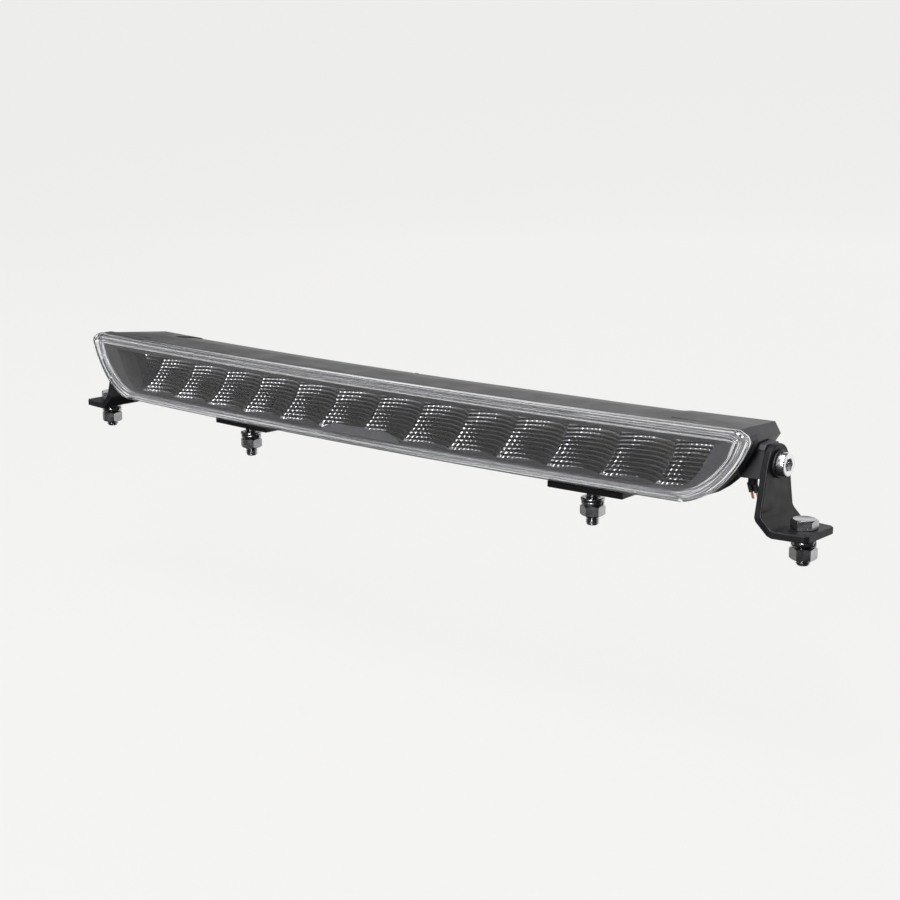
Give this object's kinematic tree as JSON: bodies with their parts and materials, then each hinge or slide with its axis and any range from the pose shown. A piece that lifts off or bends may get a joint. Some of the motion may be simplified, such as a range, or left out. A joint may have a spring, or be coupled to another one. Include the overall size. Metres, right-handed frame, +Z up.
{
  "type": "led light bar",
  "caption": "Slim bowed vehicle light bar with a clear front lens over a row of half-bowl reflectors, hinged end brackets and sliding centre feet with studs.",
  "frame": {"origin": "midway between the two end bolts, in the plane of the undersides of the two end brackets' feet", "axes": "+X along the bar, to the right as seen from in front; +Y to the back, so the light shines along -Y; +Z up"},
  "size_m": [0.5888, 0.0666, 0.0771],
  "materials": {
    "cast_black": "satin black powder coat over die-cast aluminium",
    "bracket_black": "semi-matt black e-coat on bent steel plate",
    "lens_clear": "clear hard-coated polycarbonate",
    "black_rubber": "matt black elastomer",
    "grey_mask": "dark grey moulded plastic",
    "reflector_chrome": "dark metallised plastic with small facets",
    "white_board": "white solder mask on a metal-core board",
    "green_board": "green solder mask",
    "led_phosphor": "yellow phosphor",
    "zinc_steel": "zinc-plated steel",
    "bright_steel": "polished stainless steel",
    "copper_wire": "bare copper strands"
  },
  "bodies": {
    "bar": {"housing": "cast_black", "lens": "lens_clear", "lens_gasket": "black_rubber", "bezel": "grey_mask", "badge_plate": "grey_mask", "reflector_left": "reflector_chrome", "reflector_right": "reflector_chrome", "led_board": "white_board", "led_01": "led_phosphor", "led_02": "led_phosphor", "led_03": "led_phosphor", "led_04": "led_phosphor", "led_05": "led_phosphor", "led_06": "led_phosphor", "led_07": "led_phosphor", "led_08": "led_phosphor", "led_09": "led_phosphor", "led_10": "led_phosphor", "led_11": "led_phosphor", "led_12": "led_phosphor", "led_13": "led_phosphor", "led_14": "led_phosphor", "driver_board": "green_board", "breather_vent": "black_rubber", "cable_gland": "black_rubber", "cable_jacket": "black_rubber", "lead_1": "black_rubber", "lead_1_copper": "copper_wire", "lead_2": "black_rubber", "lead_2_copper": "copper_wire", "left_pivot_screw": "bright_steel", "left_pivot_washer": "bracket_black", "right_pivot_screw": "bright_steel", "right_pivot_washer": "bracket_black"},
    "left_end_mount": {"left_bracket": "bracket_black", "left_foot_bolt": "zinc_steel", "left_foot_washer": "zinc_steel", "left_foot_spring_washer": "zinc_steel", "left_foot_nut": "zinc_steel"},
    "left_centre_foot": {"left_slider": "bracket_black", "left_stud": "zinc_steel", "left_slider_washer": "zinc_steel", "left_slider_spring_washer": "zinc_steel", "left_slider_nut": "zinc_steel"},
    "right_end_mount": {"right_bracket": "bracket_black", "right_foot_bolt": "zinc_steel", "right_foot_washer": "zinc_steel", "right_foot_spring_washer": "zinc_steel", "right_foot_nut": "zinc_steel"},
    "right_centre_foot": {"right_slider": "bracket_black", "right_stud": "zinc_steel", "right_slider_washer": "zinc_steel", "right_slider_spring_washer": "zinc_steel", "right_slider_nut": "zinc_steel"}
  },
  "joints": [
    {"name": "left_bracket_tilt", "type": "hinge", "parent": "bar", "child": "left_end_mount", "pos_m": [-0.266, 0, 0.0367], "axis": [1, 0, 0], "range_deg": [-60, 90]},
    {"name": "left_foot_slide", "type": "slide", "parent": "bar", "child": "left_centre_foot", "axis": [-0.9988, 0.0487, 0], "range_m": [-0.04, 0.04]},
    {"name": "right_bracket_tilt", "type": "hinge", "parent": "bar", "child": "right_end_mount", "pos_m": [0.266, 0, 0.0367], "axis": [1, 0, 0], "range_deg": [-60, 90]},
    {"name": "right_foot_slide", "type": "slide", "parent": "bar", "child": "right_centre_foot", "axis": [0.9988, 0.0487, 0], "range_m": [-0.04, 0.04]}
  ]
}
